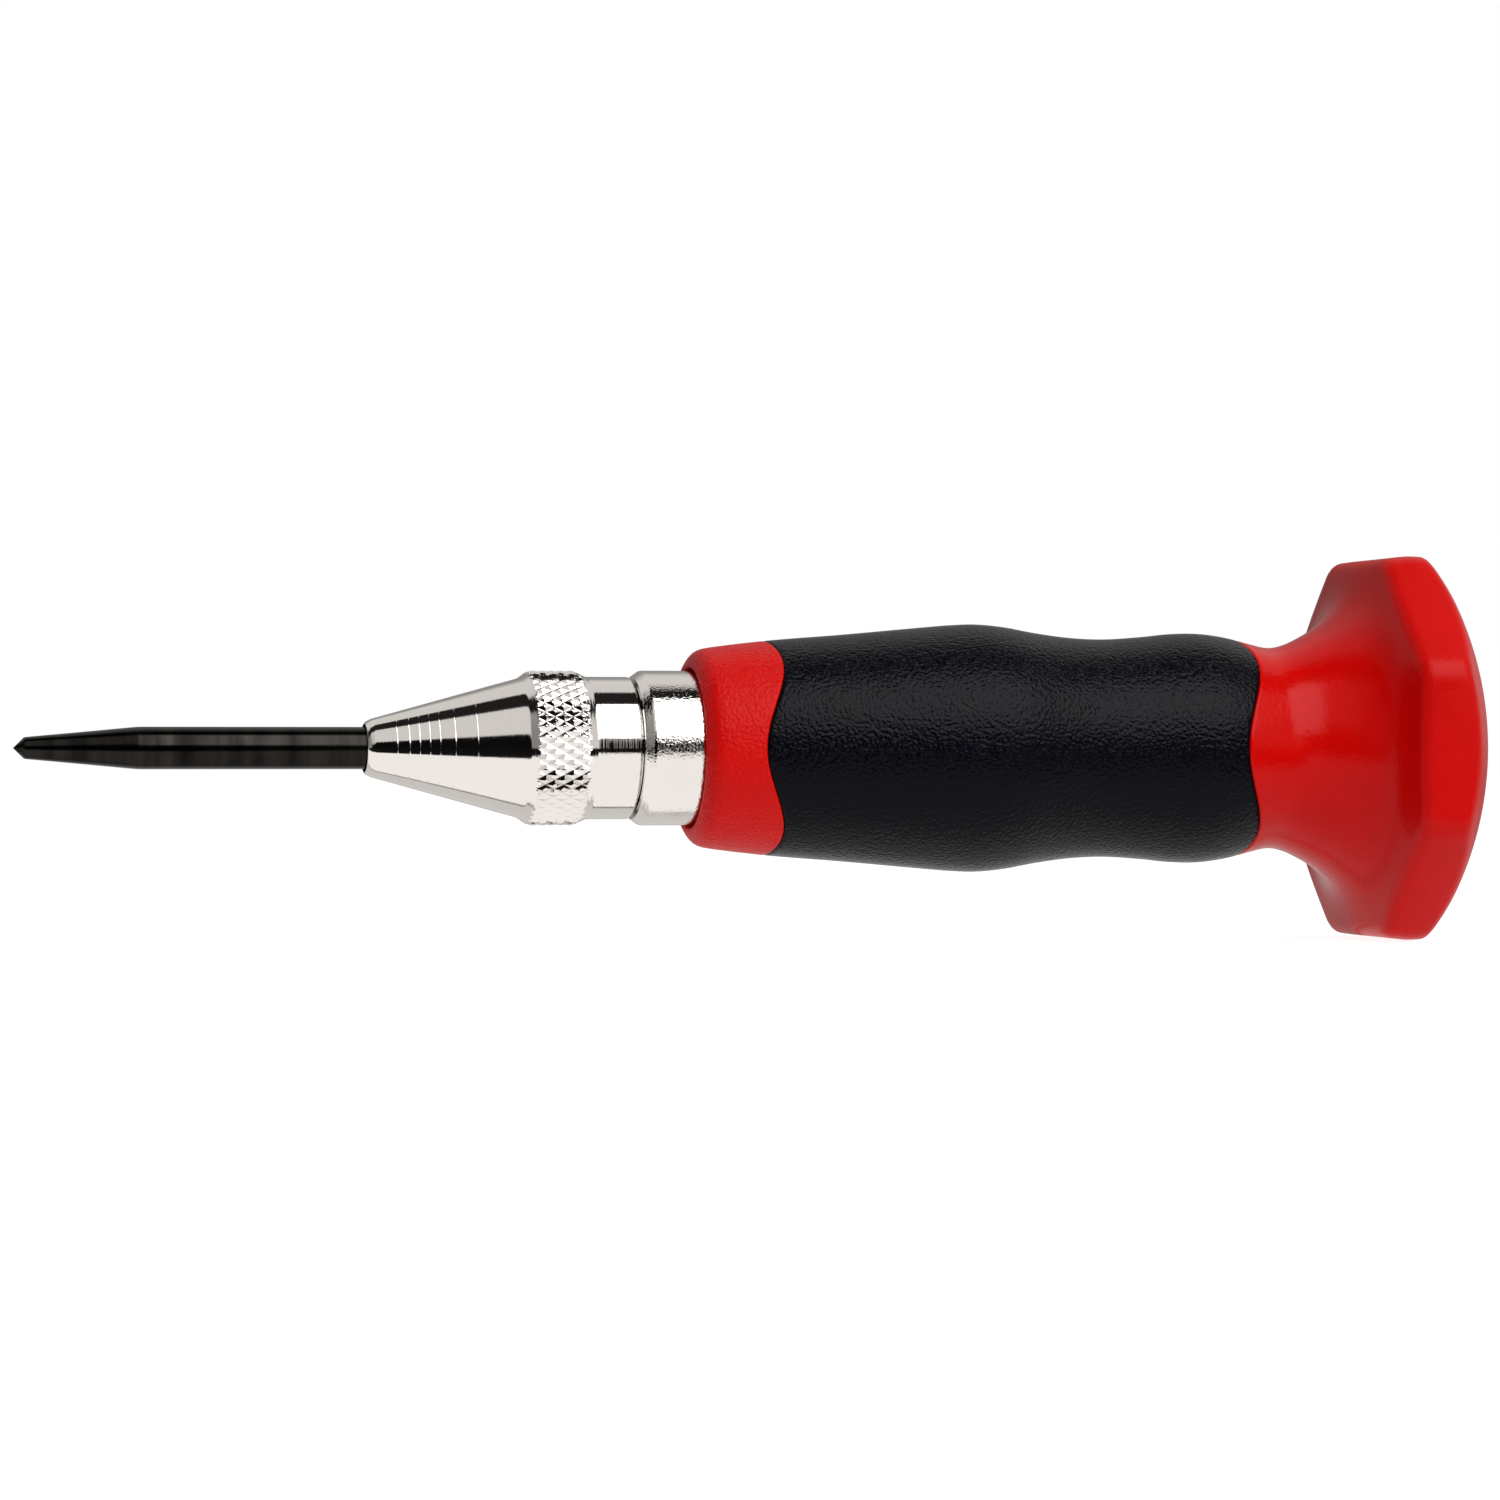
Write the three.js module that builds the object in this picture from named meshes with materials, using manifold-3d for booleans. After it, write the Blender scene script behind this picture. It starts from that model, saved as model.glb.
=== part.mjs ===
// Automatic centre punch: pressing on the palm cap cocks an inner hammer, which then trips and strikes the
// bit. The tool lies along X with its point towards -X, the flats of its cap face +-Y and +-Z, and its origin is
// on its axis, halfway along its length. Every station below is a distance from the tip of the bit.
import * as THREE from "three";
import { mergeVertices } from "three/addons/utils/BufferGeometryUtils.js";
import Module from "manifold-3d";

// Driving dimensions, in millimetres.
const LENGTH = 155.5; // tip of the bit to the crown of the palm cap
const GAP = 0.3; // clearance between neighbouring pieces
const STROKE = 8.5; // travel of the bit until the cam starts to push the catch
const TRIP = 0.8; // sideways travel of the catch

const BIT_R = 2.15;
const NOSE_FRONT = 35.5;
const NOSE_SHOULDER = 47.3; // inner step that the bit holder rests on
const NOSE_R = 7.97; // knurled band
const CONE_FRONT = [36.25, 3];
const CONE_END = [51.45, 7.2];
const KNURL_FRONT = 52.5;
const KNURL_END = 57;
const NECK_FRONT = 58.2; // plain neck between the knurl and the tube
const NECK_R = 7.35;
const SPIGOT_R = 6.5; // threaded end of the nose, inside the tube
const SPIGOT_END = 72;
const TUBE_FRONT = 63.3;
const TUBE_R = 8;
const TUBE_END = 127;
const THREAD_START = 101;
const THREAD_R = 6.9; // outer thread on the tube, which the handle turns on
const CHAMBER_R = 6.3; // front of the tube's bore, where the catch can stand off centre
const BORE_R = 5.5; // rear of the tube's bore, past the cam cone
const HAMMER_FRONT = 79;
const HAMMER_R = 5.2;
const SLOT_START = 82; // cross slot of the hammer, which holds the catch
const CATCH_LENGTH = 3;
const ROD_R = 2.6;
const TAIL_R = 1.4;
const SEAT_FRONT = 143.5;
const HANDLE_FRONT = 69.05;
const HANDLE_BORE_R = TUBE_R + GAP;
const CORE_R = 10; // core under the grip
const GRIP_FRONT = 76.7;
const GRIP_REAR = 128.1;
const CAP_FLAT = 20.45; // axis to each flat of the octagonal cap
const CAP_CORNER_R = 21.95;
const DOME_R = 35.9; // crown of the palm cap

const ROUND = 40; // sides of the large round pieces
const SMALL_ROUND = 24;

const wasm = await Module();
wasm.setup();

// ---------------------------------------------------------------- shapes

// A turned solid from [station, radius] pairs, starting and ending on the axis or closing on itself.
function turned(profile, sides = ROUND) {
  const points = profile.map(([station, radius]) => new THREE.Vector2(radius, station));
  if (THREE.ShapeUtils.area(points) < 0) points.reverse();
  const geometry = new THREE.LatheGeometry(points, sides);
  return geometry.rotateZ(-Math.PI / 2);
}

// A turned ring whose profile closes on itself.
function ring(profile, sides = ROUND) {
  return turned([...profile, profile[0]], sides);
}

// An outline in the YZ plane, extruded along the axis from one station to the next.
function across(shape, start, end, curveSegments = 16) {
  const settings = { depth: end - start, bevelEnabled: false, curveSegments };
  const geometry = new THREE.ExtrudeGeometry(shape, settings);
  return geometry.rotateY(Math.PI / 2).translate(start, 0, 0);
}

// Points of an arc in the plane of a profile.
function arc(station, radius, size, fromDegrees, toDegrees, steps) {
  return Array.from({ length: steps + 1 }, (_, i) => {
    const angle = THREE.MathUtils.degToRad(fromDegrees + ((toDegrees - fromDegrees) * i) / steps);
    return [station + size * Math.cos(angle), radius + size * Math.sin(angle)];
  });
}

function solid(geometry) {
  const bare = geometry.clone();
  bare.deleteAttribute("normal");
  bare.deleteAttribute("uv");
  const merged = mergeVertices(bare, 1e-3);
  const mesh = new wasm.Mesh({
    numProp: 3,
    vertProperties: new Float32Array(merged.attributes.position.array),
    triVerts: new Uint32Array(merged.index.array),
  });
  return new wasm.Manifold(mesh);
}

function geometryOf(body) {
  const { vertProperties, triVerts } = body.getMesh();
  const geometry = new THREE.BufferGeometry();
  geometry.setAttribute("position", new THREE.BufferAttribute(vertProperties, 3));
  geometry.setIndex(new THREE.BufferAttribute(triVerts, 1));
  const faceted = geometry.toNonIndexed();
  faceted.computeVertexNormals();
  return faceted;
}

// The centre line of a coil spring, with its end turns closed up.
class CoilLine extends THREE.Curve {
  constructor(start, end, radius, turns, wire) {
    super();
    Object.assign(this, { start, end, radius, turns, wire });
  }
  getPoint(t, target = new THREE.Vector3()) {
    const turn = t * this.turns;
    const closed = this.wire * 1.06;
    const open = (this.end - this.start - this.wire - 2 * closed) / (this.turns - 2);
    const first = Math.min(turn, 1) * closed;
    const middle = Math.min(Math.max(turn - 1, 0), this.turns - 2) * open;
    const last = Math.max(turn - (this.turns - 1), 0) * closed;
    const angle = turn * 2 * Math.PI;
    const station = this.start + this.wire / 2 + first + middle + last;
    return target.set(station, this.radius * Math.cos(angle), this.radius * Math.sin(angle));
  }
}

function coilSpring(start, end, radius, turns, wire) {
  const section = new THREE.Shape();
  section.absarc(0, 0, wire / 2, 0, 2 * Math.PI);
  return new THREE.ExtrudeGeometry(section, {
    steps: Math.round(turns * 12),
    curveSegments: 3,
    extrudePath: new CoilLine(start, end, radius, turns, wire),
  });
}

// ---------------------------------------------------------------- assembly

const tool = new THREE.Group();
tool.position.x = -LENGTH / 2;

function finish(color, roughness, metalness) {
  return new THREE.MeshStandardMaterial({ color, roughness, metalness });
}

const blackOxide = finish("#1c1c1e", 0.38, 0.9);
const nickel = finish("#cfcbc4", 0.16, 1);
const hardenedSteel = finish("#8e9094", 0.32, 1);
const springSteel = finish("#6f7276", 0.3, 1);
const brass = finish("#b8923f", 0.3, 1);
const redPlastic = finish("#c8201c", 0.28, 0);
const blackGrip = finish("#121214", 0.7, 0);
const sealRubber = finish("#1a1a1a", 0.8, 0);

function add(name, geometry, material) {
  const mesh = new THREE.Mesh(geometry, material);
  mesh.name = name;
  tool.add(mesh);
}

// ---------------------------------------------------------------- bit and its holder

const BIT_END = 53;
const HOLDER_START = NOSE_SHOULDER + GAP;
const HOLDER_END = 58;
const HOLDER_R = 4;
const ROD_START = 54.6;
const ROD_SHOULDER = 74;
const ROD_END = SLOT_START;
const SCREW_STATION = 50.5;
const SCREW_R = 1.2;

add(
  "punch_bit",
  turned([
    [0, 0],
    [1.05, 1.05],
    [11.9, 2.1],
    [13, BIT_R],
    [BIT_END - 0.4, BIT_R],
    [BIT_END, BIT_R - 0.4],
    [BIT_END, 0],
  ]),
  blackOxide,
);

// The holder has a socket for the bit in front and one for the rod behind, and a cross hole for its screw.
const holderBody = solid(
  turned(
    [
      [BIT_END + GAP, 0],
      [BIT_END + GAP, BIT_R + GAP],
      [HOLDER_START, BIT_R + GAP],
      [HOLDER_START, HOLDER_R - 0.5],
      [HOLDER_START + 0.5, HOLDER_R],
      [HOLDER_END - 0.4, HOLDER_R],
      [HOLDER_END, HOLDER_R - 0.4],
      [HOLDER_END, ROD_R + GAP],
      [ROD_START - GAP, ROD_R + GAP],
      [ROD_START - GAP, 0],
    ],
    SMALL_ROUND,
  ),
);
const screwHole = new THREE.CylinderGeometry(SCREW_R + GAP, SCREW_R + GAP, HOLDER_R, 16);
screwHole.rotateX(Math.PI / 2).translate(SCREW_STATION, 0, HOLDER_R / 2 + 1);
add("bit_holder", geometryOf(holderBody.subtract(solid(screwHole))), hardenedSteel);

// The screw's hexagon socket faces outwards.
const screwEnd = new THREE.CylinderGeometry(SCREW_R, SCREW_R * 0.7, 1.4, 16);
const hexagon = new THREE.CylinderGeometry(0.75, 0.75, 1, 6).translate(0, 0.6, 0);
const screwBody = geometryOf(solid(screwEnd).subtract(solid(hexagon)));
screwBody.rotateX(Math.PI / 2).translate(SCREW_STATION, 0, BIT_R + GAP + 0.7);
add("bit_set_screw", screwBody, blackOxide);

add(
  "striker_rod",
  turned(
    [
      [ROD_START, 0],
      [ROD_START, ROD_R - 0.3],
      [ROD_START + 0.3, ROD_R],
      [ROD_SHOULDER - 0.3, ROD_R],
      [ROD_SHOULDER, ROD_R - 0.3],
      [ROD_SHOULDER, TAIL_R],
      [ROD_END - 0.3, TAIL_R],
      [ROD_END, TAIL_R - 0.3],
      [ROD_END, 0],
    ],
    SMALL_ROUND,
  ),
  hardenedSteel,
);

const BUSH_START = SPIGOT_END + GAP;
const BUSH_END = HAMMER_FRONT - GAP;
add("return_spring", coilSpring(HOLDER_END + GAP, BUSH_START - GAP, 3.4, 6, 0.7), springSteel);

// ---------------------------------------------------------------- nose

const NOSE_HOLE_R = BIT_R + GAP;
const NOSE_BORE_R = HOLDER_R + GAP;
const SEAL_STATION = 64.7;
const SEAL_WIRE_R = 0.5;
const SEAL_GROOVE = 0.9; // depth of the O-ring's groove, and half its width
add(
  "nose_cone",
  ring([
    [NOSE_FRONT, NOSE_HOLE_R],
    [NOSE_SHOULDER, NOSE_HOLE_R],
    [NOSE_SHOULDER, NOSE_BORE_R],
    [SPIGOT_END, NOSE_BORE_R],
    [SPIGOT_END, SPIGOT_R - 0.4],
    [SPIGOT_END - 0.4, SPIGOT_R],
    [SEAL_STATION + SEAL_GROOVE, SPIGOT_R],
    [SEAL_STATION + SEAL_GROOVE, SPIGOT_R - SEAL_GROOVE],
    [SEAL_STATION - SEAL_GROOVE, SPIGOT_R - SEAL_GROOVE],
    [SEAL_STATION - SEAL_GROOVE, SPIGOT_R],
    [TUBE_FRONT - GAP, SPIGOT_R],
    [TUBE_FRONT - GAP, NECK_R],
    [NECK_FRONT, NECK_R],
    [KNURL_END, NOSE_R],
    [KNURL_FRONT, NOSE_R],
    CONE_END,
    CONE_FRONT,
    [NOSE_FRONT + 0.2, 2.7],
  ]),
  nickel,
);

add(
  "nose_o_ring",
  ring(arc(SEAL_STATION, SPIGOT_R - SEAL_GROOVE + GAP / 3 + SEAL_WIRE_R, SEAL_WIRE_R, 360, 45, 7), 32),
  sealRubber,
);

// ---------------------------------------------------------------- body tube, with its cam cone inside

const NOSE_THREAD_R = SPIGOT_R + GAP;
const CATCH_START = SLOT_START + GAP;
const CAM_START = CATCH_START + CATCH_LENGTH + STROKE + 0.1;
const CAM_END = CAM_START + 2;
const RING_START = 123.8;
const RING_END = 124.8;
add(
  "body_tube",
  ring([
    [TUBE_FRONT, NOSE_THREAD_R],
    [HAMMER_FRONT, NOSE_THREAD_R],
    [HAMMER_FRONT, CHAMBER_R],
    [CAM_START, CHAMBER_R],
    [CAM_END, BORE_R],
    [TUBE_END, BORE_R],
    [TUBE_END, THREAD_R - 0.5],
    [TUBE_END - 0.5, THREAD_R],
    [RING_END + GAP, THREAD_R],
    [RING_END + GAP, THREAD_R - 0.7],
    [RING_START - GAP, THREAD_R - 0.7],
    [RING_START - GAP, THREAD_R],
    [THREAD_START, THREAD_R],
    [THREAD_START - 0.5, TUBE_R],
    [TUBE_FRONT + 0.95, TUBE_R],
    [TUBE_FRONT, TUBE_R - 0.6],
  ]),
  nickel,
);

// The bush guides the rod, and its rear face stops the hammer.
add(
  "guide_bush",
  ring(
    [
      [BUSH_START, ROD_R + GAP],
      [BUSH_END, ROD_R + GAP],
      [BUSH_END, SPIGOT_R - 0.4],
      [BUSH_END - 0.4, SPIGOT_R],
      [BUSH_START + 0.4, SPIGOT_R],
      [BUSH_START, SPIGOT_R - 0.4],
    ],
    SMALL_ROUND,
  ),
  hardenedSteel,
);

// A snap ring, open at the bottom, in the groove at the tube's end.
const RING_OPENING = THREE.MathUtils.degToRad(14);
const RING_FROM = -Math.PI + RING_OPENING;
const RING_TO = Math.PI - RING_OPENING;
const snapRing = new THREE.Shape();
snapRing.absarc(0, 0, TUBE_R - 0.1, RING_FROM, RING_TO, false);
snapRing.absarc(0, 0, THREAD_R - 0.7 + GAP, RING_TO, RING_FROM, true);
add("stop_ring", across(snapRing, RING_START, RING_END, 14), springSteel);

// ---------------------------------------------------------------- hammer and its catch

const HAMMER_END = 109;
const SPRING_PIN_R = 3;
const TAIL_HOLE_R = TAIL_R + GAP;
const SLOT_END = CATCH_START + CATCH_LENGTH + GAP;
const SLOT_HALF_WIDTH = 3.9;
const SLOT_FLOOR = -4.1;
const hammerBody = solid(
  turned(
    [
      [HAMMER_FRONT + 12, 0],
      [HAMMER_FRONT + 12, TAIL_HOLE_R],
      [HAMMER_FRONT, TAIL_HOLE_R],
      [HAMMER_FRONT, HAMMER_R - 0.5],
      [HAMMER_FRONT + 0.5, HAMMER_R],
      [HAMMER_END - 0.5, HAMMER_R],
      [HAMMER_END, HAMMER_R - 0.5],
      [HAMMER_END, SPRING_PIN_R],
      [HAMMER_END + 3.5, SPRING_PIN_R],
      [HAMMER_END + 4, SPRING_PIN_R - 0.5],
      [HAMMER_END + 4, 0],
    ],
    SMALL_ROUND,
  ),
);
const slotHeight = HAMMER_R + 1 - SLOT_FLOOR;
const slot = new THREE.BoxGeometry(SLOT_END - SLOT_START, 2 * SLOT_HALF_WIDTH, slotHeight);
slot.translate((SLOT_START + SLOT_END) / 2, 0, SLOT_FLOOR + slotHeight / 2);
add("hammer", geometryOf(hammerBody.subtract(solid(slot))), hardenedSteel);

// The catch stands above centre at rest, so its solid part covers the rod's tail. The shape's x is -Z.
const CATCH_HALF_WIDTH = SLOT_HALF_WIDTH - GAP;
const CATCH_TOP_R = HAMMER_R - 0.05;
const CATCH_FLOOR = -3.2;
const catchCorner = Math.asin(CATCH_HALF_WIDTH / CATCH_TOP_R);
const catchShape = new THREE.Shape();
catchShape.moveTo(-CATCH_FLOOR, -CATCH_HALF_WIDTH);
catchShape.lineTo(-CATCH_FLOOR, CATCH_HALF_WIDTH);
catchShape.absarc(0, 0, CATCH_TOP_R, Math.PI - catchCorner, Math.PI + catchCorner, false);
const catchHole = new THREE.Path();
catchHole.absarc(0, 0, TAIL_HOLE_R, 0, 2 * Math.PI);
catchShape.holes.push(catchHole);
const catchGeometry = across(catchShape, CATCH_START, CATCH_START + CATCH_LENGTH, 10);
add("trip_block", catchGeometry.translate(0, 0, TRIP), hardenedSteel);

// A bowed leaf between the slot's floor and the catch.
const LEAF = 0.25;
const LEAF_HALF = 3.2;
const leafLow = -SLOT_FLOOR - GAP;
const leafHigh = -(CATCH_FLOOR + TRIP) + GAP;
const leafShape = new THREE.Shape();
leafShape.moveTo(leafLow, -LEAF_HALF);
leafShape.quadraticCurveTo(2 * (leafHigh + LEAF) - leafLow, 0, leafLow, LEAF_HALF);
leafShape.lineTo(leafLow - LEAF, LEAF_HALF);
leafShape.quadraticCurveTo(2 * leafHigh - (leafLow - LEAF), 0, leafLow - LEAF, -LEAF_HALF);
add("trip_spring", across(leafShape, CATCH_START + 0.3, CATCH_START + CATCH_LENGTH - 0.3, 8), springSteel);

add("main_spring", coilSpring(HAMMER_END + GAP, SEAT_FRONT - GAP, 4.2, 11, 1.4), springSteel);

// ---------------------------------------------------------------- spring seat and thrust bearing

const SEAT_END = SEAT_FRONT + 2.6;
const BALL_R = 2;
const BALL_STATION = SEAT_END + 0.75;
const DIMPLE_R = 2.1;
add(
  "spring_seat",
  turned(
    [
      [SEAT_FRONT - 5, 0],
      [SEAT_FRONT - 5, SPRING_PIN_R - 0.6],
      [SEAT_FRONT - 4.4, SPRING_PIN_R],
      [SEAT_FRONT, SPRING_PIN_R],
      [SEAT_FRONT, HAMMER_R],
      [SEAT_END, HAMMER_R],
      [SEAT_END, DIMPLE_R],
      [SEAT_END - DIMPLE_R, 0],
    ],
    SMALL_ROUND,
  ),
  hardenedSteel,
);
const ball = new THREE.SphereGeometry(BALL_R, 20, 12).rotateZ(Math.PI / 2);
add("thrust_ball", ball.translate(BALL_STATION, 0, 0), hardenedSteel);

const PLATE_START = BALL_STATION + BALL_R + GAP;
const PLATE_END = PLATE_START + 1.3;
add(
  "thrust_plate",
  turned(
    [
      [PLATE_START, 0],
      [PLATE_START, HAMMER_R],
      [PLATE_END, HAMMER_R],
      [PLATE_END, 0],
    ],
    SMALL_ROUND,
  ),
  hardenedSteel,
);

// ---------------------------------------------------------------- handle

const INSERT_START = 106;
const INSERT_END = 120;
const INSERT_R = 8.6;
const insertGroove = (station) => [
  [station + 1.5, INSERT_R],
  [station + 1.5, INSERT_R - 0.5],
  [station, INSERT_R - 0.5],
  [station, INSERT_R],
];
add(
  "threaded_insert",
  ring([
    [INSERT_START, THREAD_R + GAP],
    [INSERT_END, THREAD_R + GAP],
    [INSERT_END, INSERT_R],
    ...insertGroove(INSERT_START + 9),
    ...insertGroove(INSERT_START + 3.5),
    [INSERT_START, INSERT_R],
  ]),
  brass,
);

// Outer radius of the handle from the collar to the neck.
const handleStations = [70.6, 73, 77, 86, 94, 97.5, 100, 103, 106.6, 110.6, 114, 118.6, 122, 124.6, 127.4,
  130.7];
const handleRadii = [10.3, 10.63, 11.1, 11.86, 12.6, 12.9, 13, 12.76, 12.14, 11.64, 11.5, 11.78, 12.12, 12.16,
  11.83, 11.05];
const outline = new THREE.CubicInterpolant(handleStations, handleRadii, 1);
const outlineRadius = (station) => outline.evaluate(station)[0];

// Both ends of the grip run round the handle in the same wave, with two large and two small lobes.
const wave = (angle) => 0.3 - 1.1 * Math.cos(2 * angle) - 0.68 * Math.cos(4 * angle);
const LARGEST_WAVE = 1.5;

// Moves the vertices of a turned piece that lie near a grip end with the wave, and keeps them on the outline.
function waved(geometry, stations) {
  const position = geometry.attributes.position;
  for (let i = 0; i < position.count; i++) {
    const [x, y, z] = [position.getX(i), position.getY(i), position.getZ(i)];
    const radius = Math.hypot(y, z);
    const near = stations.find((station) => Math.abs(x - station) < 0.01);
    if (near === undefined) continue;
    const angle = Math.atan2(z, -y);
    const station = x + wave(angle);
    const outside = radius > CORE_R + GAP + 0.1;
    const scale = outside ? outlineRadius(station) / radius : 1;
    position.setXYZ(i, station, y * scale, z * scale);
  }
  return geometry;
}

const gripSides = Array.from({ length: 19 }, (_, i) => {
  const start = GRIP_FRONT + LARGEST_WAVE + 0.6;
  const end = GRIP_REAR - LARGEST_WAVE - 0.6;
  const station = start + ((end - start) * i) / 18;
  return [station, outlineRadius(station)];
});
add(
  "grip_sleeve",
  waved(
    ring([
      [GRIP_REAR, CORE_R + GAP],
      [GRIP_REAR, outlineRadius(GRIP_REAR)],
      ...gripSides.reverse(),
      [GRIP_FRONT, outlineRadius(GRIP_FRONT)],
      [GRIP_FRONT, CORE_R + GAP],
    ]),
    [GRIP_FRONT, GRIP_REAR],
  ),
  blackGrip,
);

// The core's bore holds the tube, the insert and the spring seat. Its outside steps down under the grip.
const CORE_FRONT_STEP = GRIP_FRONT - GAP;
const CORE_REAR_STEP = GRIP_REAR + GAP;
const BORE_STEP = TUBE_END + 5.5;
const domeAngle = THREE.MathUtils.radToDeg(Math.asin((CAP_CORNER_R + 1) / DOME_R));
const coreProfile = [
  [PLATE_END + GAP, 0],
  [PLATE_END + GAP, BORE_R],
  [BORE_STEP, BORE_R],
  [BORE_STEP, HANDLE_BORE_R],
  [INSERT_END + GAP, HANDLE_BORE_R],
  [INSERT_END + GAP, INSERT_R + GAP],
  [INSERT_START - GAP, INSERT_R + GAP],
  [INSERT_START - GAP, HANDLE_BORE_R],
  [HANDLE_FRONT, HANDLE_BORE_R],
  [HANDLE_FRONT, 8.75],
  [69.35, 9.2],
  [69.8, 9.8],
  [70.6, outlineRadius(70.6)],
  [73, outlineRadius(73)],
  [CORE_FRONT_STEP, outlineRadius(CORE_FRONT_STEP)],
  [CORE_FRONT_STEP, CORE_R],
  [CORE_REAR_STEP, CORE_R],
  [CORE_REAR_STEP, outlineRadius(CORE_REAR_STEP)],
  // The neck, and its flare into the front of the cap.
  [130.7, 11.05],
  [132, 10.76],
  [133.2, 10.7],
  [134.8, 11.03],
  [137, 12],
  [139.6, 13.65],
  [140.7, 14.65],
  [141.58, 15.9],
  [142.2, 17.5],
  [142.67, 20],
  [142.9, CAP_CORNER_R + 1],
  ...arc(LENGTH - DOME_R, 0, DOME_R, domeAngle, 0, 8),
];
const coreBody = solid(waved(turned(coreProfile), [CORE_FRONT_STEP, CORE_REAR_STEP]));

// An octagonal bar with rounded corners, which trims the turned cap to its flats.
const octagon = new THREE.Shape();
const sideHalf = CAP_FLAT * Math.tan(Math.PI / 8);
const CORNER = 1.1; // length of side that each rounded corner takes
for (let side = 0; side < 8; side++) {
  const angle = (side * Math.PI) / 4;
  const onSide = (along, out) => [
    out * Math.cos(angle) - along * Math.sin(angle),
    out * Math.sin(angle) + along * Math.cos(angle),
  ];
  const start = onSide(-sideHalf + CORNER, CAP_FLAT);
  const end = onSide(sideHalf - CORNER, CAP_FLAT);
  const corner = onSide(sideHalf, CAP_FLAT);
  const next = angle + Math.PI / 4;
  const nextStart = [
    CAP_FLAT * Math.cos(next) - (-sideHalf + CORNER) * Math.sin(next),
    CAP_FLAT * Math.sin(next) + (-sideHalf + CORNER) * Math.cos(next),
  ];
  if (side === 0) octagon.moveTo(...start);
  octagon.lineTo(...end);
  octagon.quadraticCurveTo(...corner, ...nextStart);
}
const octagonBar = solid(across(octagon, HANDLE_FRONT - 5, LENGTH + 5, 3));
add("handle_core", geometryOf(coreBody.intersect(octagonBar)), redPlastic);

export default tool;
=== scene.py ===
import math

import bpy
import numpy as np
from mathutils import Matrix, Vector


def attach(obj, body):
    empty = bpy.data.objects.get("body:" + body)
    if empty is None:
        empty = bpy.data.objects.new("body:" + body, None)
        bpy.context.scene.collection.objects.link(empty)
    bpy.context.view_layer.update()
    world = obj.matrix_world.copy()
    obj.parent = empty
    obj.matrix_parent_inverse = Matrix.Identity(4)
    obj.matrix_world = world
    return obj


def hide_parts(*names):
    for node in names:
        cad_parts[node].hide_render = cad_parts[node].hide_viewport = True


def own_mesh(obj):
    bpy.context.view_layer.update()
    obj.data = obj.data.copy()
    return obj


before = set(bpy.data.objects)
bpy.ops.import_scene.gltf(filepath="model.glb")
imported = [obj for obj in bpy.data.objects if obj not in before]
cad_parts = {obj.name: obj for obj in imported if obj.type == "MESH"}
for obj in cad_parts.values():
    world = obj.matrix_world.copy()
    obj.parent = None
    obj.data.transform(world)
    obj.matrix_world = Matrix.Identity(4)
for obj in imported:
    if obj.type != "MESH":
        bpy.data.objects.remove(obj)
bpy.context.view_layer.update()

# ---------------------------------------------------------------- studio
# The camera looks across the tool at the height of its axis, a little from the point end. A square
# softbox hangs over the front of it. A painted glowing patch on the floor before it stands in for a white
# card and lights the tool from below. The room behind the camera is dark.
scene = bpy.context.scene
scene.view_settings.view_transform = "Standard"

bpy.ops.object.select_all(action="DESELECT")
bpy.ops.object.camera_add(
    location=(-0.11906, -0.4775, -0.0002),
    rotation=(math.radians(90), 0, math.radians(-13.8)),
)
camera = bpy.context.object
camera.name = "camera"
camera.data.lens = 113.54
camera.data.sensor_width = 36
camera.data.clip_start = 0.01
scene.camera = camera


class Value:
    """What comes out of one node's socket. Arithmetic on it adds Math nodes."""

    def __init__(self, wiring, socket):
        self.wiring = wiring
        self.socket = socket

    def maths(self, operation, *values):
        return self.wiring.node("ShaderNodeMath", {"operation": operation}, dict(enumerate(values)))

    def __add__(self, other):
        return self.maths("ADD", self, other)

    def __radd__(self, other):
        return self.maths("ADD", other, self)

    def __sub__(self, other):
        return self.maths("SUBTRACT", self, other)

    def __rsub__(self, other):
        return self.maths("SUBTRACT", other, self)

    def __mul__(self, other):
        return self.maths("MULTIPLY", self, other)

    def __rmul__(self, other):
        return self.maths("MULTIPLY", other, self)

    def __truediv__(self, other):
        return self.maths("DIVIDE", self, other)

    def __pow__(self, other):
        return self.maths("POWER", self, other)

    def __abs__(self):
        return self.maths("ABSOLUTE", self)


class Wiring:
    """The nodes of one material or world."""

    def __init__(self, owner):
        owner.use_nodes = True
        self.tree = owner.node_tree
        self.tree.nodes.clear()

    def node(self, kind, settings=None, sockets=None, output=0):
        made = self.tree.nodes.new(kind)
        for setting, value in (settings or {}).items():
            if setting == "stops":
                ramp = made.color_ramp.elements
                while len(ramp) < len(value):
                    ramp.new(0.5)
                for element, (position, colour) in zip(ramp, value):
                    element.position = position
                    element.color = colour
            else:
                setattr(made, setting, value)
        for socket, value in (sockets or {}).items():
            if isinstance(value, Value):
                self.tree.links.new(value.socket, made.inputs[socket])
            else:
                made.inputs[socket].default_value = value
        return Value(self, made.outputs[output]) if made.outputs else None

    def smooth(self, value, low, high):
        """0 below low, 1 above high, with a soft step between."""
        return self.node(
            "ShaderNodeMapRange",
            {"interpolation_type": "SMOOTHSTEP"},
            {"Value": value, "From Min": low, "From Max": high},
        )

    def noise(self, scale, detail=2.0):
        """Noise over the piece's own coordinates, from 0 to 1. The scale is in grains per metre."""
        place = self.node("ShaderNodeTexCoord", output="Object")
        return self.node("ShaderNodeTexNoise", {}, {"Vector": place, "Scale": scale, "Detail": detail})

    def axes(self, coordinates="Object"):
        place = self.node("ShaderNodeTexCoord", output=coordinates)
        return [self.node("ShaderNodeSeparateXYZ", {}, {0: place}, i) for i in range(3)]


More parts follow.
